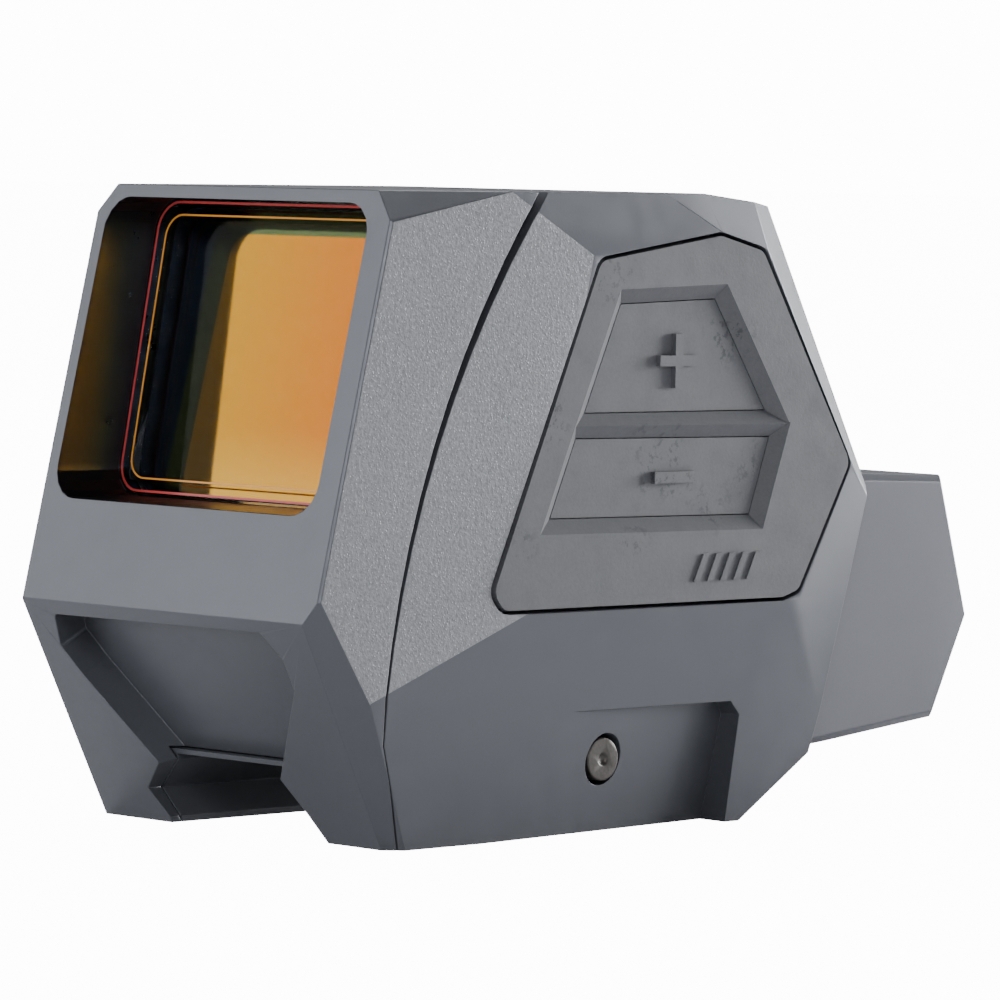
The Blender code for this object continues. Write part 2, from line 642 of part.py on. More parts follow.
def make_clamp():
    shank = cylinder("clamp_bolt", BOLT_R, CLAMP_SEAT - 1.4, BOLT_END, "X", (BOLT_Y, BOLT_Z), "steel")
    head_out = CLAMP_SEAT - 5.2
    head = cylinder("bolt head", 4.5, head_out, CLAMP_SEAT - 1.25, "X", (BOLT_Y, BOLT_Z), sides=6)
    round_head = cylinder("bolt head round", 4.2, head_out - 1, CLAMP_SEAT, "X", (BOLT_Y, BOLT_Z), sides=40)
    keep(head, round_head)
    join(shank, head)
    cut(shank, box("coin slot", (-26, BOLT_Y - 6, BOLT_Z - 0.6), (head_out + 1.2, BOLT_Y + 6, BOLT_Z + 0.6)))
    cut(shank, cylinder("bolt end dimple", 0.35, BOLT_END - 0.25, BOLT_END + 0.5, "X", (BOLT_Y, BOLT_Z), sides=16,
                        end_radius=1.1))
    washer = cylinder("clamp_washer", 4.4, CLAMP_SEAT - 1.1, CLAMP_SEAT - 0.15, "X", (BOLT_Y, BOLT_Z), "steel")
    cut(washer, cylinder("washer hole", 2.15, -30, 0, "X", (BOLT_Y, BOLT_Z)))
    outline = [(11.2, -1.1), (11.2, -3.2), (8.9, -5.5), (8.9, -6.3), (14.0, -6.3), (14.0, -0.6),
               (11.7, -0.6)]
    jaw = prism("clamp_jaw", outline, *JAW_Y, "Y", "anodised_dark")
    join(jaw, box("jaw lug", (JAW_LUG_X[0], JAW_LUG_Y[0], -1.0), (JAW_LUG_X[1], JAW_LUG_Y[1], JAW_LUG_TOP)))
    cut(jaw, cylinder("jaw bolt hole", BOLT_R + 0.1, 0, 30, "X", (BOLT_Y, BOLT_Z)))


# ---------------------------------------------------------------- inner tube and adjusters

PITCH_Y, PITCH_Z = -14.0, 37.2
TUBE_X = (-12.6, 9.6)
TUBE_Z = (28.6, 45.8)
TUBE_Y = (-16.5, 9.5)


def make_inner_tube():
    (x0, x1), (z0, z1) = TUBE_X, TUBE_Z
    middle = (x0 + x1) / 2
    ring_outline = [(x0 - 2.4, z0 - 2.0), (x1 + 2.4, z0 - 2.0), (x1 + 2.4, z1 + 2.0), (x0 - 2.4, z1 + 2.0)]
    ring = prism("pivot_ring", rounded(ring_outline, 2.0), PITCH_Y - 1.8, PITCH_Y + 1.8, "Y",
                 "anodised_dark")
    hole = rounded(grown([(x0, z0), (x1, z0), (x1, z1), (x0, z1)], 0.9), 1.5)
    cut(ring, prism("ring hole", hole, -60, 20, "Y"))
    tube_outline = rounded([(x0, z0), (x1, z0), (x1, z1), (x0, z1)], 1.6)
    tube = prism("inner_tube", tube_outline, *TUBE_Y, "Y", "anodised_dark")
    bore = rounded([(x0 + 1.3, z0 + 1.3), (x1 - 1.3, z0 + 1.3), (x1 - 1.3, z1 - 1.3), (x0 + 1.3, z1 - 1.3)],
                   1.0)
    cut(tube, prism("tube bore", bore, -60, 40, "Y"))
    board_z = z0 + 1.3
    box("led_board", (middle - 4.5, 4.0, board_z + 0.2), (middle + 4.5, 9.0, board_z + 1.0), "board")
    stand = box("led_holder", (middle - 2.0, 5.4, board_z + 1.2), (middle + 2.0, 8.6, board_z + 3.4),
                "anodised_dark", 0.3)
    cut(stand, cylinder("led hole", 0.75, 0, 20, "Y", (middle, board_z + 2.4), sides=16))
    cylinder("led_emitter", 0.6, 5.0, 6.6, "Y", (middle, board_z + 2.4), "led", sides=16)


def make_spring_strip():
    """Bent leaf that pushes the tube's rear end against both screws."""
    under = [(-0.2, 25.45), (0.3, 25.45), (3.7, 27.75), (4.1, 27.75), (7.5, 25.45), (8.0, 25.45)]
    over = [(y, z + 0.28) for y, z in reversed(under)]
    return prism("tube_spring", under + over, -3.5, 0.5, "X", "steel")


def slotted(piece, axis, place, face, width):
    """Coin slot across the outer end of a screw."""
    if axis == "Z":
        low = (place[0] - 6, place[1] - width / 2, face - 0.8)
        high = (place[0] + 6, place[1] + width / 2, face + 1)
    else:
        low = (-face - 1, place[0] - 6, place[1] - width / 2)
        high = (-face + 0.8, place[0] + 6, place[1] + width / 2)
    cut(piece, box(f"{piece.name} slot", low, high))


def make_adjusters():
    roof, flank = ROOF_END[1], SIDE - 2 * BODY_MID
    place = (-1.5, -2.0)
    top = cylinder("elevation_screw", 5.0, roof - 1.3, roof - 0.1, "Z", place, "anodised_dark", 48)
    join(top, cylinder("elevation stem", 1.9, TUBE_Z[1] + 0.35, roof - 1.2, "Z", place))
    slotted(top, "Z", place, roof - 0.1, 1.1)
    seal = cylinder("elevation_seal", 4.6, roof - 1.62, roof - 1.38, "Z", place, "seal")
    cut(seal, cylinder("elevation seal hole", 3.4, 40, 60, "Z", place))
    place = (-2.0, 37.2)
    left = cylinder("windage_screw", 5.0, -flank + 0.1, -flank + 1.3, "X", place, "anodised_dark", 48)
    join(left, cylinder("windage stem", 1.9, -flank + 1.2, TUBE_X[0] - 0.35, "X", place))
    slotted(left, "X", place, flank - 0.1, 1.1)
    seal = cylinder("windage_seal", 4.6, -flank + 1.38, -flank + 1.62, "X", place, "seal")
    cut(seal, cylinder("windage seal hole", 3.4, -30, 0, "X", place))


# ---------------------------------------------------------------- battery block

def block_screw_places():
    return [(x, 22.9) for x in (-10.0, 12.0)]


def block_edges():
    """Chamfers of the block along its top, its two rear faces and its underside, by three points."""
    side = BLOCK_X[1]
    for start, end in zip(BLOCK[:4], BLOCK[1:5]):
        small = 0.7
        along, out = lean(start, end)
        centre = Vector((36, 13))
        out = out if (Vector(start) - centre).dot(out) > 0 else -out
        inner = Vector(start) - out * small
        yield (side - small, *start), (side - small, *end), (side, *inner)


def make_block():
    x0, x1 = BLOCK_X
    shape = bmesh.new()
    shape.from_mesh(prism_mesh("battery_block", BLOCK, x0, x1, "X"))
    for plane in block_edges():
        slice_off(shape, *plane, core=(BODY_MID, 36, 13))
        slice_off(shape, *[(2 * BODY_MID - x, y, z) for x, y, z in plane], core=(BODY_MID, 36, 13))
    block = from_bmesh("battery_block", shape, "anodised")
    cut(block, cylinder("cell bore", CELL_R + 0.9, x0 + 2.4, x1 - 2.4, "X", (CELL_Y, CELL_Z)))
    cut(block, prism("tray mouth", tray_outline(0.25), -40, x0 + 3.5, "X"))
    cut(block, cylinder("tray screw hole", 1.3, x0 + 2, x0 + 12, "X", TRAY_SCREW, sides=20))
    for number, place in enumerate(block_screw_places(), 1):
        cut(block, cylinder(f"block screw bore {number}", 1.15, 10, 41.5, "Y", place, sides=20))
        cut(block, cylinder(f"block screw well {number}", 1.8, 41.0, 60, "Y", place, sides=24))
    cut(block, box("block lead passage", (8.0, 20, 17.0), (12.6, 34.0, 19.2)))
    seal_outline = rear_joint_outline()
    seal = prism("block_gasket", seal_outline, x0 + 0.8, x1 - 0.8, "X", "seal")
    cut(seal, box("gasket lead hole", (7.4, 10, 16.0), (13.2, 50, 20.2)))
    for number, place in enumerate(block_screw_places(), 1):
        cut(seal, cylinder(f"gasket screw hole {number}", 1.5, 0, 60, "Y", place, sides=20))
    for number, place in enumerate(block_screw_places(), 1):
        screw = cylinder(f"block_screw_{number}", 1.0, 20.0, 41.4, "Y", place, "steel", sides=20)
        join(screw, cylinder(f"block screw head {number}", 1.65, 41.2, 42.9, "Y", place, sides=24))
        cut(screw, cylinder(f"block screw socket {number}", 0.85, 42.1, 45, "Y", place, sides=6))


def rear_joint_outline():
    """Thin strip between the housing's lower rear face and the block, as (y, z)."""
    along, out = lean(REAR_POINT, REAR_WAIST)
    out = out if out.x > 0 else -out
    start, end = Vector(REAR_POINT) + along * 1.0, Vector(REAR_WAIST) - along * 1.0
    return [tuple(start + out * 0.1), tuple(end + out * 0.1), tuple(end + out * 0.34),
            tuple(start + out * 0.34)]


def tray_outline(spare=0.0):
    """Door of the battery tray on the block's far flank, as (y, z)."""
    corners = [(25.2, 2.3), (42.6, 3.1), (45.4, 11.4), (42.6, 21.6), (29.6, 21.6)]
    return rounded(grown(corners, spare), 1.4 + spare)


def make_battery():
    x0, x1 = BLOCK_X
    tray = prism("battery_tray", tray_outline(), x0 + 0.1, x0 + 3.0, "X", "anodised_dark")
    cradle = cylinder("tray cradle", CELL_R + 0.7, x0 + 2.8, x0 + 30.6, "X", (CELL_Y, CELL_Z), sides=40)
    cut(cradle, box("cradle cut", (-40, 20, CELL_Z - 4.5), (40, 50, CELL_Z + 12)))
    join(tray, cradle)
    cut(tray, cylinder("tray cell space", CELL_R + 0.15, x0 + 3.0, 40, "X", (CELL_Y, CELL_Z), sides=40))
    cut(tray, cylinder("tray screw seat", 2.35, x0 - 4, x0 + 1.6, "X", TRAY_SCREW, sides=24))
    cut(tray, cylinder("tray screw bore", 1.3, x0 - 4, x0 + 6, "X", TRAY_SCREW, sides=20))
    foot, shoulder, tip = x0 + 3.7, x0 + 30.0, x0 + 3.7 + CELL_LENGTH
    profile = [(0, tip), (2.8, tip), (2.8, shoulder), (7.2, shoulder), (7.7, shoulder - 0.5),
               (7.7, foot + 0.4), (7.3, foot), (0, foot)]
    turned("battery", profile, "X", (CELL_Y, CELL_Z), "cell")
    cylinder("contact_spring", 4.0, x0 + 3.15, x0 + 3.5, "X", (CELL_Y, CELL_Z), "brass")
    screw = cylinder("tray_screw", 1.0, x0 + 1.0, x0 + 9.0, "X", TRAY_SCREW, "steel", sides=20)
    join(screw, cylinder("tray screw head", 2.05, x0 + 0.2, x0 + 1.4, "X", TRAY_SCREW, sides=24))
    cut(screw, box("tray screw slot", (x0 - 1, TRAY_SCREW[0] - 3, TRAY_SCREW[1] - 0.3),
                   (x0 + 0.75, TRAY_SCREW[0] + 3, TRAY_SCREW[1] + 0.3)))
    cylinder("contact_plate", 4.5, x1 - 2.9, x1 - 2.55, "X", (CELL_Y, CELL_Z), "brass")


def make_dowels():
    for number, (x, z) in enumerate(dowel_places(), 1):
        cylinder(f"bezel_dowel_{number}", 1.0, -32.2, -26.4, "Y", (x, z), "steel", sides=20)


def main():
    start_scene()
    make_front_bezel()
    make_main_housing()
    make_gasket()
    make_optics()
    make_electronics()
    make_clamp()
    make_inner_tube()
    make_spring_strip()
    make_adjusters()
    make_block()
    make_battery()
    make_dowels()


main()
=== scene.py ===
import math

import bmesh
import bpy
from mathutils import Matrix, Vector


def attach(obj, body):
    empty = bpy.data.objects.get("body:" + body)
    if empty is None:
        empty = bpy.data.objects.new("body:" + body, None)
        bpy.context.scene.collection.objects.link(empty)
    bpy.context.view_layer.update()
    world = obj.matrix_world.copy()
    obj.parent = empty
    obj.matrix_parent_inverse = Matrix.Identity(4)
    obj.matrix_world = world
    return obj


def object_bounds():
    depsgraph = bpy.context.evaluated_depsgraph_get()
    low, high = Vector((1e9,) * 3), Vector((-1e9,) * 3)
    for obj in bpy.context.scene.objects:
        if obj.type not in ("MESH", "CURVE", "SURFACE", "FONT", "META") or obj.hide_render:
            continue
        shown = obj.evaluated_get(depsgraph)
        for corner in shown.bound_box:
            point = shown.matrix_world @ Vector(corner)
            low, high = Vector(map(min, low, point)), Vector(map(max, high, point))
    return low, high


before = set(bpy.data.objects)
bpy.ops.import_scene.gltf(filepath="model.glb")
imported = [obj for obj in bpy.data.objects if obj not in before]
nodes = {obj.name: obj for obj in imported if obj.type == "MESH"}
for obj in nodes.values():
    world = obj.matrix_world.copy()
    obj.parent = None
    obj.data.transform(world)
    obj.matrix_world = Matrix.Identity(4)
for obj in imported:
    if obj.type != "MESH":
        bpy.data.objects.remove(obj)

mm = 0.001
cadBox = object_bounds()


def newGroup(name, inputs, outputs):
    tree = bpy.data.node_groups.new(name, "ShaderNodeTree")
    for label, kind, value in inputs:
        socket = tree.interface.new_socket(name=label, in_out="INPUT", socket_type=kind)
        if value is not None:
            socket.default_value = value
    for label, kind in outputs:
        tree.interface.new_socket(name=label, in_out="OUTPUT", socket_type=kind)
    return tree, tree.nodes.new("NodeGroupInput"), tree.nodes.new("NodeGroupOutput")


def addMath(tree, kind, first, second=None):
    node = tree.nodes.new("ShaderNodeMath")
    node.operation = kind
    for index, value in enumerate((first, second)):
        if value is None:
            continue
        if isinstance(value, (int, float)):
            node.inputs[index].default_value = value
        else:
            tree.links.new(value, node.inputs[index])
    return node.outputs[0]


def addNoise(tree, scale, detail, coords, roughness=0.5):
    node = tree.nodes.new("ShaderNodeTexNoise")
    node.inputs["Detail"].default_value = detail
    node.inputs["Roughness"].default_value = roughness
    if isinstance(scale, (int, float)):
        node.inputs["Scale"].default_value = scale
    else:
        tree.links.new(scale, node.inputs["Scale"])
    tree.links.new(coords, node.inputs["Vector"])
    return node.outputs["Fac"]


def addRange(tree, value, low, high, outLow, outHigh):
    node = tree.nodes.new("ShaderNodeMapRange")
    for index, number in enumerate((low, high, outLow, outHigh), 1):
        if isinstance(number, (int, float)):
            node.inputs[index].default_value = number
        else:
            tree.links.new(number, node.inputs[index])
    tree.links.new(value, node.inputs[0])
    return node.outputs[0]


def addMix(tree, factor, first, second, blendType="MIX"):
    node = tree.nodes.new("ShaderNodeMix")
    node.data_type = "RGBA"
    node.blend_type = blendType
    for socket, value in ((node.inputs[0], factor), (node.inputs[6], first), (node.inputs[7], second)):
        if isinstance(value, (int, float, tuple)):
            socket.default_value = value
        else:
            tree.links.new(value, socket)
    return node.outputs[2]


grainShape = dict(detail=3.0, roughness=0.6, glintReach=0.3)

driftShape = dict(slowScale=70.0, smearScale=420.0, smearSpan=(0.3, 0.7), markScale=1100.0,
                  markSpan=(0.54, 0.62), patchScale=95.0, patchSpan=(0.55, 0.66), markStrength=0.60)


def makeGrainAndGlints():
    # fine pits left by bead blasting, with a few bright specks that are painted glints
    tree, source, sink = newGroup(
        "blastedGrainAndGlints",
        [("Color", "NodeSocketColor", (0.2, 0.2, 0.22, 1)), ("Scale", "NodeSocketFloat", 4000.0),
         ("Contrast", "NodeSocketFloat", 0.2), ("Painted Glints", "NodeSocketFloat", 0.0)],
        [("Color", "NodeSocketColor"), ("Height", "NodeSocketFloat")])
    coords = tree.nodes.new("ShaderNodeTexCoord").outputs["Object"]
    grain = addNoise(tree, source.outputs["Scale"], grainShape["detail"], coords, grainShape["roughness"])
    centred = addMath(tree, "SUBTRACT", grain, 0.5)
    shade = addMath(tree, "ADD", addMath(tree, "MULTIPLY", centred, source.outputs["Contrast"]), 1.0)
    cells = tree.nodes.new("ShaderNodeTexVoronoi")
    tree.links.new(source.outputs["Scale"], cells.inputs["Scale"])
    tree.links.new(coords, cells.inputs["Vector"])
    # painted glints: bright specks added to the colour and the height
    glintSpots = addRange(tree, cells.outputs["Distance"], 0.0, grainShape["glintReach"], 1.0, 0.0)
    paintedGlints = addMath(tree, "MULTIPLY", glintSpots, source.outputs["Painted Glints"])
    total = addMath(tree, "ADD", shade, paintedGlints)
    grey = tree.nodes.new("ShaderNodeCombineColor")
    for index in range(3):
        tree.links.new(total, grey.inputs[index])
    tinted = addMix(tree, 1.0, source.outputs["Color"], grey.outputs[0], "MULTIPLY")
    tree.links.new(tinted, sink.inputs["Color"])
    tree.links.new(addMath(tree, "ADD", grain, paintedGlints), sink.inputs["Height"])
    return tree


def makeSurfaceDrift():
    # slow change of tone and gloss over a surface, with a mask of scuffs in patches
    tree, source, sink = newGroup(
        "surfaceDrift",
        [("Color", "NodeSocketColor", (0.2, 0.2, 0.22, 1)), ("Amount", "NodeSocketFloat", 0.1),
         ("Rough Low", "NodeSocketFloat", 0.35), ("Rough High", "NodeSocketFloat", 0.5)],
        [("Color", "NodeSocketColor"), ("Roughness", "NodeSocketFloat"), ("Marks", "NodeSocketFloat")])
    coords = tree.nodes.new("ShaderNodeTexCoord").outputs["Object"]
    slow = addNoise(tree, driftShape["slowScale"], 3.0, coords)
    smears = addNoise(tree, driftShape["smearScale"], 5.0, coords, 0.65)
    tone = addMath(tree, "ADD", addMath(tree, "MULTIPLY", addMath(tree, "SUBTRACT", slow, 0.5),
                                        source.outputs["Amount"]), 1.0)
    grey = tree.nodes.new("ShaderNodeCombineColor")
    for index in range(3):
        tree.links.new(tone, grey.inputs[index])
    tinted = addMix(tree, 1.0, source.outputs["Color"], grey.outputs[0], "MULTIPLY")
    tree.links.new(tinted, sink.inputs["Color"])
    tree.links.new(addRange(tree, smears, *driftShape["smearSpan"], source.outputs["Rough Low"],
                            source.outputs["Rough High"]), sink.inputs["Roughness"])
    fine = addNoise(tree, driftShape["markScale"], 4.0, coords, 0.7)
    coarse = addNoise(tree, driftShape["patchScale"], 1.0, coords)
    patches = addRange(tree, coarse, *driftShape["patchSpan"], 0.0, 1.0)
    marks = addMath(tree, "MULTIPLY", addRange(tree, fine, *driftShape["markSpan"], 0.0, 1.0), patches)
    tree.links.new(marks, sink.inputs["Marks"])
    return tree


grainAndGlintGroup = makeGrainAndGlints()
driftGroup = makeSurfaceDrift()


finishes = {
    "smoothMetal": dict(color=(0.088, 0.094, 0.110), metallic=0.45, rough=(0.34, 0.44), grain=5200,
                        contrast=0.10, paintedGlints=0.0, bump=0.04),
    # the specks amount of the blasted faces is painted glints
    "blastedMetal": dict(color=(0.205, 0.212, 0.230), metallic=0.30, rough=(0.42, 0.54), grain=3000,
                         contrast=1.00, paintedGlints=0.55, bump=0.46),
    "blockMetal": dict(color=(0.100, 0.105, 0.124), metallic=0.40, rough=(0.38, 0.50), grain=4600,
                       contrast=0.14, paintedGlints=0.0, bump=0.05),
    "darkMetal": dict(color=(0.030, 0.032, 0.038), metallic=0.35, rough=(0.34, 0.50), grain=4200,
                      contrast=0.25, paintedGlints=0.0, bump=0.06),
    "hoodBlack": dict(color=(0.004, 0.004, 0.005), metallic=0.0, rough=(0.26, 0.38), grain=3000,
                      contrast=0.30, paintedGlints=0.0, bump=0.02),
    "padRubber": dict(color=(0.082, 0.086, 0.098), metallic=0.0, rough=(0.50, 0.66), grain=3400,
                      contrast=0.30, paintedGlints=0.0, bump=0.12, marks=(0.012, 0.013, 0.018)),
    "sealRubber": dict(color=(0.008, 0.008, 0.010), metallic=0.0, rough=(0.60, 0.80), grain=3000,
                       contrast=0.30, paintedGlints=0.0, bump=0.10),
    "wornSteel": dict(color=(0.078, 0.073, 0.069), metallic=0.75, rough=(0.30, 0.48), grain=2600,
                      contrast=0.55, paintedGlints=0.0, bump=0.14),
    "contactBrass": dict(color=(0.640, 0.430, 0.150), metallic=1.0, rough=(0.22, 0.36), grain=3000,
                         contrast=0.18, paintedGlints=0.0, bump=0.05),
    "circuitBoard": dict(color=(0.012, 0.110, 0.045), metallic=0.0, rough=(0.30, 0.42), grain=2600,
                         contrast=0.30, paintedGlints=0.0, bump=0.08),
    "chipPlastic": dict(color=(0.014, 0.014, 0.016), metallic=0.0, rough=(0.40, 0.55), grain=3800,
                        contrast=0.30, paintedGlints=0.0, bump=0.10),
    "emitterRed": dict(color=(0.700, 0.030, 0.020), metallic=0.0, rough=(0.14, 0.22), grain=2600,
                       contrast=0.10, paintedGlints=0.0, bump=0.02),
    "cellSleeve": dict(color=(0.060, 0.120, 0.290), metallic=0.2, rough=(0.24, 0.34), grain=2600,
                       contrast=0.10, paintedGlints=0.0, bump=0.03),
}


def startMaterial(name):
    made = bpy.data.materials.new(name)
    made.use_nodes = True
    return made, made.node_tree, made.node_tree.nodes["Principled BSDF"]


def makeFinish(name, color, metallic, rough, grain, contrast, paintedGlints, bump, marks=None):
    made, tree, shader = startMaterial(name)
    shader.inputs["Metallic"].default_value = metallic
    drift = tree.nodes.new("ShaderNodeGroup")
    drift.node_tree = driftGroup
    drift.inputs["Color"].default_value = (*color, 1)
    drift.inputs["Rough Low"].default_value, drift.inputs["Rough High"].default_value = rough
    grainAndGlints = tree.nodes.new("ShaderNodeGroup")
    grainAndGlints.node_tree = grainAndGlintGroup
    grainAndGlints.inputs["Scale"].default_value = grain
    grainAndGlints.inputs["Contrast"].default_value = contrast
    # amount of painted glints
    grainAndGlints.inputs["Painted Glints"].default_value = paintedGlints
    tone = drift.outputs["Color"]
    if marks:
        amount = addMath(tree, "MULTIPLY", drift.outputs["Marks"], driftShape["markStrength"])
        tone = addMix(tree, amount, tone, (*marks, 1))
    tree.links.new(tone, grainAndGlints.inputs["Color"])
    tree.links.new(grainAndGlints.outputs["Color"], shader.inputs["Base Color"])
    tree.links.new(drift.outputs["Roughness"], shader.inputs["Roughness"])
    relief = tree.nodes.new("ShaderNodeBump")
    relief.inputs["Strength"].default_value = bump
    relief.inputs["Distance"].default_value = 0.0001
    tree.links.new(grainAndGlints.outputs["Height"], relief.inputs["Height"])
    tree.links.new(relief.outputs[0], shader.inputs["Normal"])
    return made


materials = {name: makeFinish(name, **values) for name, values in finishes.items()}

# cream is a painted highlight near the foot of the coating
lens = dict(centre=(0.35, -29.2, 37.2), tilt=10.5, glass=2.3, width=(-17.4, 18.1), height=(23.4, 51.0),
            amberLeft=(0.370, 0.178, 0.000), amberRight=(0.400, 0.092, 0.004),
            paintedHighlight=(0.460, 0.250, 0.028), olive=(0.055, 0.075, 0.022), navy=(0.006, 0.014, 0.034),
            marginLeft=-9.8, marginTop=47.6, marginLean=0.08, marginCorner=2.2, oliveWidth=2.3,
            leanFrom=35.5, marginBlur=0.12, oliveBlur=0.3, hueSpan=(-10, 14), paintedHighlightSpan=(24, 30),
            paintedHighlightMost=0.75, rough=0.06)


def makeCoating():
    # dichroic mirror: yellow on the far side, warmer towards the keypad, with a painted cream highlight near
    # the foot
    made, tree, shader = startMaterial("amberCoating")
    shader.inputs["Metallic"].default_value = 1.0
    shader.inputs["Roughness"].default_value = lens["rough"]
    split = tree.nodes.new("ShaderNodeSeparateXYZ")
    tree.links.new(tree.nodes.new("ShaderNodeTexCoord").outputs["Object"], split.inputs[0])
    across = addRange(tree, split.outputs[0], *[edge * mm for edge in lens["hueSpan"]], 0.0, 1.0)
    # painted highlight: the colour turns paler cream towards the foot
    low = addRange(tree, split.outputs[2], *[edge * mm for edge in lens["paintedHighlightSpan"]], lens["paintedHighlightMost"], 0.0)
    body = addMix(tree, across, (*lens["amberLeft"], 1), (*lens["amberRight"], 1))
    amberWithHighlight = addMix(tree, low, body, (*lens["paintedHighlight"], 1))
    # the coating stops short of the far side and the top, with a round corner
    corner = lens["marginCorner"] * mm
    raised = addMath(tree, "SUBTRACT", split.outputs[2], lens["leanFrom"] * mm)
    leaning = addMath(tree, "MULTIPLY", raised, lens["marginLean"])
    inward = addMath(tree, "SUBTRACT", split.outputs[0], lens["marginLeft"] * mm)
    fromLeft = addMath(tree, "SUBTRACT", inward, leaning)
    fromTop = addMath(tree, "SUBTRACT", lens["marginTop"] * mm, split.outputs[2])
    sides = [addMath(tree, "MAXIMUM", addMath(tree, "SUBTRACT", corner, side), 0.0)
             for side in (fromLeft, fromTop)]
    squares = [addMath(tree, "MULTIPLY", side, side) for side in sides]
    reach = addMath(tree, "SQRT", addMath(tree, "ADD", *squares))
    band = corner + lens["oliveWidth"] * mm
    outside = addRange(tree, reach, corner, corner + lens["marginBlur"] * mm, 0.0, 1.0)
    further = addRange(tree, reach, band, band + lens["oliveBlur"] * mm, 0.0, 1.0)
    margin = addMix(tree, further, (*lens["olive"], 1), (*lens["navy"], 1))
    tree.links.new(addMix(tree, outside, amberWithHighlight, margin), shader.inputs["Base Color"])
    return made


def makeGlass(name, color, rough, ior):
    made, tree, shader = startMaterial(name)
    shader.inputs["Base Color"].default_value = (*color, 1)
    shader.inputs["Transmission Weight"].default_value = 1.0
    shader.inputs["Roughness"].default_value = rough
    shader.inputs["IOR"].default_value = ior
    return made


# tinted glass edge that also glows: the emission is painted light
def makeTintedEdgeGlow(name, color, glow):
    made, tree, shader = startMaterial(name)
    shader.inputs["Base Color"].default_value = (*color, 1)
    shader.inputs["Roughness"].default_value = 0.2
    shader.inputs["Emission Color"].default_value = (*color, 1)
    shader.inputs["Emission Strength"].default_value = glow
    return made


materials["amberCoating"] = makeCoating()
# bloomed glass mirrors little, which the low index stands for
materials["clearGlass"] = makeGlass("clearGlass", color=(0.97, 0.99, 1.0), rough=0.0, ior=1.12)
materials["edgeRoseTintAndGlow"] = makeTintedEdgeGlow("edgeRoseTintAndGlow", (0.42, 0.045, 0.045), 0.25)
materials["edgeOrangeTintAndGlow"] = makeTintedEdgeGlow("edgeOrangeTintAndGlow", (0.60, 0.24, 0.03), 0.30)
print("finishes made")


nodeFinish = {
    "smoothMetal": ["main_housing", "front_bezel"],
    "blockMetal": ["battery_block"],
    "darkMetal": ["rear_window_frame", "clamp_jaw", "pivot_ring", "inner_tube", "led_holder",
                  "elevation_screw", "windage_screw", "battery_tray"],
    "sealRubber": ["body_gasket", "lens_gasket", "rear_window_gasket", "block_gasket", "elevation_seal",
                   "windage_seal"],
    "clearGlass": ["objective_glass", "rear_window"],
    "amberCoating": ["coated_lens"],
    "padRubber": ["button_pad", "plus_key", "minus_key", "plus_plunger", "minus_plunger"],
    "wornSteel": ["pad_backing_plate", "plus_switch", "minus_switch", "clamp_bolt", "clamp_washer",
                  "block_screw_1", "block_screw_2", "tray_screw", "tube_spring", "bezel_dowel_1",
                  "bezel_dowel_2", "bezel_dowel_3", "bezel_dowel_4"],
    "contactBrass": ["contact_plate", "contact_spring"],
    "circuitBoard": ["control_board", "led_board"],
    "chipPlastic": ["controller_chip"],
    "emitterRed": ["led_emitter"],
    "cellSleeve": ["battery"],
}

for finishName, members in nodeFinish.items():
    for nodeName in members:
        mesh = nodes[nodeName].data
        mesh.materials.clear()
        mesh.materials.append(materials[finishName])


def paintFaces(nodeName, finishName, test):
    mesh = nodes[nodeName].data
    mesh.materials.append(materials[finishName])
    index = len(mesh.materials) - 1
    count = 0
    for face in mesh.polygons:
        if test(face.center / mm, face.normal):
            face.material_index = index
            count += 1
    print(f"{nodeName}: {count} faces in {finishName}")


# three points of the near blasted plane; the far one mirrors it
blasted = dict(points=((21.0, -33.4, 49.3), (21.0, -41.25, 16.4), (22.2, -9.2, 46.5)), match=0.9995,
               middle=1, outside=19)
hood = dict(margin=0.3, sideways=0.6)
tunnel = dict(across=(-16.7, 13.7), along=(-34, 13), upward=(25.0, 49.5))


def blastedPlane():
    first, second, third = (Vector(point) for point in blasted["points"])
    normal = (second - first).cross(third - first).normalized()
    return normal if normal.x > 0 else -normal


flankNormal = blastedPlane()
farNormal = Vector((-flankNormal.x, flankNormal.y, flankNormal.z))


def isBlasted(centre, normal):
    facing = max(normal.dot(flankNormal), normal.dot(farNormal)) > blasted["match"]
    return facing and abs(centre.x - blasted["middle"]) > blasted["outside"]


def isHoodWall(centre, normal):
    inWidth = lens["width"][0] - hood["margin"] < centre.x < lens["width"][1] + hood["margin"]
    inHeight = lens["height"][0] - hood["margin"] < centre.z < lens["height"][1] + hood["margin"]
    return inWidth and inHeight and abs(normal.y) < hood["sideways"]


def isTunnelWall(centre, normal):
    spans = (tunnel["across"], tunnel["along"], tunnel["upward"])
    return all(low < place < high for (low, high), place in zip(spans, centre))


paintFaces("front_bezel", "blastedMetal", isBlasted)
paintFaces("main_housing", "blastedMetal", isBlasted)
paintFaces("front_bezel", "hoodBlack", isHoodWall)
paintFaces("main_housing", "hoodBlack", isTunnelWall)

edgeRounding = {"main_housing": 0.07, "front_bezel": 0.09, "battery_block": 0.14, "battery_tray": 0.12,
                "clamp_jaw": 0.12,
                "clamp_bolt": 0.12, "rear_window_frame": 0.12}      # widths in millimetres
rounding = dict(weld=0.000002, segments=2, angle=14, faceWeight=90)


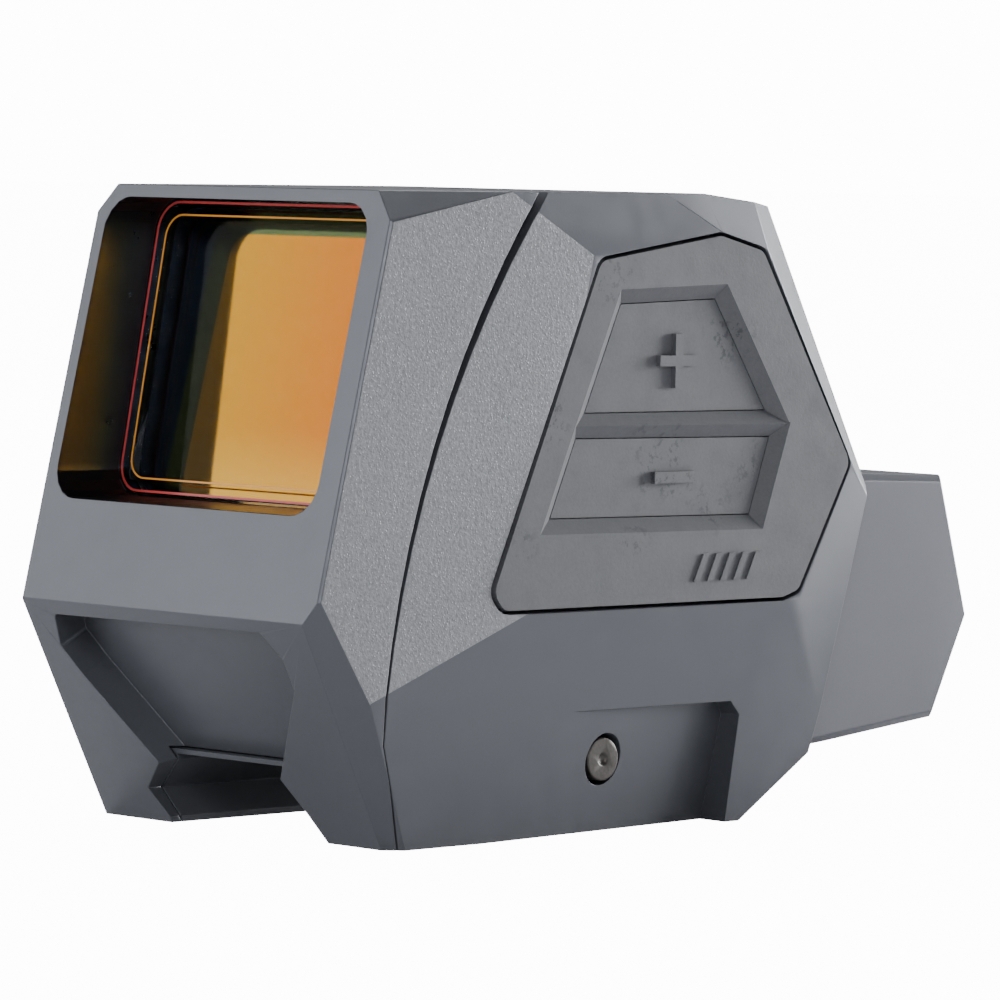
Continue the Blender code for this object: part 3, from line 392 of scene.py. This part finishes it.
def roundEdges(nodeName, width):
    # flat faces are not merged first: faces with holes in them came out closed over
    target = nodes[nodeName]
    weld = target.modifiers.new("weld", "WELD")
    weld.merge_threshold = rounding["weld"]
    edge = target.modifiers.new("edge", "BEVEL")
    edge.width = width * mm
    edge.segments = rounding["segments"]
    edge.limit_method = "ANGLE"
    edge.angle_limit = math.radians(rounding["angle"])
    edge.use_clamp_overlap = False
    edge.miter_outer = "MITER_SHARP"
    target.data.polygons.foreach_set("use_smooth", [True] * len(target.data.polygons))
    shade = target.modifiers.new("shade", "WEIGHTED_NORMAL")
    shade.keep_sharp = False
    shade.weight = rounding["faceWeight"]


for nodeName, width in edgeRounding.items():
    roundEdges(nodeName, width)
print("edges rounded")


def lensPoint(x, along, behind):
    # across, up the tilted glass, and behind its front face, all in millimetres
    turn = math.radians(lens["tilt"])
    cx, cy, cz = lens["centre"]
    up = along - cz
    return Vector((x, cy + behind * math.cos(turn) + up * math.sin(turn),
                   cz - behind * math.sin(turn) + up * math.cos(turn))) * mm


def roundedRect(inset, radius, steps=8):
    x0, x1 = lens["width"][0] + inset, lens["width"][1] - inset
    z0, z1 = lens["height"][0] + inset, lens["height"][1] - inset
    points = []
    for cx, cz, start in ((x1 - radius, z1 - radius, 0), (x0 + radius, z1 - radius, 90),
                          (x0 + radius, z0 + radius, 180), (x1 - radius, z0 + radius, 270)):
        for step in range(steps + 1):
            angle = math.radians(start + 90 * step / steps)
            points.append((cx + radius * math.cos(angle), cz + radius * math.sin(angle)))
    return points


rimRadius, rimDepth = 2.8, 0.06
# the rims glow with painted light through their emissive tint
rims = {"glassFrontRim": dict(inset=0.12, width=0.22, behind=-0.10, finish="edgeRoseTintAndGlow"),
        "glassInnerRim": dict(inset=1.35, width=0.16, behind=-0.08, finish="edgeOrangeTintAndGlow")}


def makeRim(name, inset, width, behind, finish):
    shape = bmesh.new()
    radius = rimRadius - inset / 2
    outer, inner = roundedRect(inset, radius), roundedRect(inset + width, radius - width)
    rings = [[shape.verts.new(lensPoint(x, z, depth)) for x, z in ring]
             for depth in (behind, behind + rimDepth) for ring in (outer, inner)]
    count = len(outer)
    for index in range(count):
        after = (index + 1) % count
        for first, second in ((0, 1), (1, 3), (3, 2), (2, 0)):
            shape.faces.new((rings[first][index], rings[first][after],
                             rings[second][after], rings[second][index]))
    bmesh.ops.recalc_face_normals(shape, faces=shape.faces)
    mesh = bpy.data.meshes.new(name)
    shape.to_mesh(mesh)
    shape.free()
    mesh.materials.append(materials[finish])
    made = bpy.data.objects.new(name, mesh)
    bpy.context.scene.collection.objects.link(made)
    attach(made, "sight_body")


for name, values in rims.items():
    makeRim(name, **values)
print("lens rims made")


view = dict(azimuth=45.802, elevation=3.295, roll=0.98, distance=594.207, target=(1.0, 0.0, 22.53),
            lens=227.003, sensor=36, shift=(0.00033, 0.0043), clip=(0.01, 20))


def makeCamera():
    azimuth, elevation, roll = (math.radians(view[key]) for key in ("azimuth", "elevation", "roll"))
    back = Vector((math.sin(azimuth) * math.cos(elevation), -math.cos(azimuth) * math.cos(elevation),
                   math.sin(elevation)))
    flatRight = Vector((math.cos(azimuth), math.sin(azimuth), 0))
    flatUp = flatRight.cross(-back)
    right = flatRight * math.cos(roll) + flatUp * math.sin(roll)
    up = -flatRight * math.sin(roll) + flatUp * math.cos(roll)
    place = (back * view["distance"] + Vector(view["target"])) * mm
    data = bpy.data.cameras.new("camera")
    data.lens, data.sensor_width = view["lens"], view["sensor"]
    data.shift_x, data.shift_y = view["shift"]
    data.clip_start, data.clip_end = view["clip"]
    made = bpy.data.objects.new("camera", data)
    bpy.context.scene.collection.objects.link(made)
    made.matrix_world = Matrix(((right.x, up.x, back.x, place.x), (right.y, up.y, back.y, place.y),
                                (right.z, up.z, back.z, place.z), (0, 0, 0, 1)))
    bpy.context.scene.camera = made


ground = dict(size=6, color=(0.86, 0.86, 0.87), rough=0.9, glow=18.0, glowShare=0.75, drop=0.0002)


def makeFloor():
    shape = bmesh.new()
    bmesh.ops.create_grid(shape, x_segments=1, y_segments=1, size=ground["size"])
    mesh = bpy.data.meshes.new("floor")
    shape.to_mesh(mesh)
    shape.free()
    made, tree, shader = startMaterial("paleFloor")
    shader.inputs["Base Color"].default_value = (*ground["color"], 1)
    shader.inputs["Roughness"].default_value = ground["rough"]
    glow = tree.nodes.new("ShaderNodeEmission")          # lifts the floor to the backdrop's white
    glow.inputs[1].default_value = ground["glow"]
    path, mix = tree.nodes.new("ShaderNodeLightPath"), tree.nodes.new("ShaderNodeMixShader")
    amount = addMath(tree, "MULTIPLY", path.outputs["Is Camera Ray"], ground["glowShare"])
    tree.links.new(amount, mix.inputs[0])
    tree.links.new(shader.outputs[0], mix.inputs[1])
    tree.links.new(glow.outputs[0], mix.inputs[2])
    tree.links.new(mix.outputs[0], tree.nodes["Material Output"].inputs[0])
    mesh.materials.append(made)
    floor = bpy.data.objects.new("floor", mesh)
    bpy.context.scene.collection.objects.link(floor)
    floor.location.z = cadBox[0].z - ground["drop"]


lights = {
    "topSoftbox": dict(place=(-0.25, 0.40, 0.75), size=0.60, power=6.0),
    "frontSoftbox": dict(place=(-0.72, -0.68, 0.24), size=1.00, power=7.0),
    "lowFrontSoftbox": dict(place=(-0.30, -0.85, 0.05), size=0.40, power=5.0),
    "flankSoftbox": dict(place=(0.26, -0.22, 0.150), size=0.12, power=0.46),
    "rearSoftbox": dict(place=(0.20, 0.80, 0.10), size=0.40, power=14.0),
}


studio = dict(aim=(0, 0, 0.025), fill=0.15, backdrop=14.0)


def makeLight(name, place, size, power):
    data = bpy.data.lights.new(name, "AREA")
    data.size, data.energy = size, power
    made = bpy.data.objects.new(name, data)
    bpy.context.scene.collection.objects.link(made)
    made.location = place
    made.rotation_euler = (Vector(studio["aim"]) - Vector(place)).to_track_quat("-Z", "Y").to_euler()


def makeWorld():
    world = bpy.data.worlds.new("studio")
    world.use_nodes = True
    tree = world.node_tree
    sky = tree.nodes["Background"]
    sky.inputs[0].default_value, sky.inputs[1].default_value = (1, 1, 1, 1), studio["fill"]
    seen = tree.nodes.new("ShaderNodeBackground")
    seen.inputs[0].default_value, seen.inputs[1].default_value = (1, 1, 1, 1), studio["backdrop"]
    path = tree.nodes.new("ShaderNodeLightPath")
    mix = tree.nodes.new("ShaderNodeMixShader")
    tree.links.new(path.outputs["Is Camera Ray"], mix.inputs[0])
    tree.links.new(sky.outputs[0], mix.inputs[1])
    tree.links.new(seen.outputs[0], mix.inputs[2])
    tree.links.new(mix.outputs[0], tree.nodes["World Output"].inputs[0])
    bpy.context.scene.world = world


makeCamera()
makeFloor()
for name, values in lights.items():
    makeLight(name, **values)
makeWorld()
print("camera, floor and lights made")
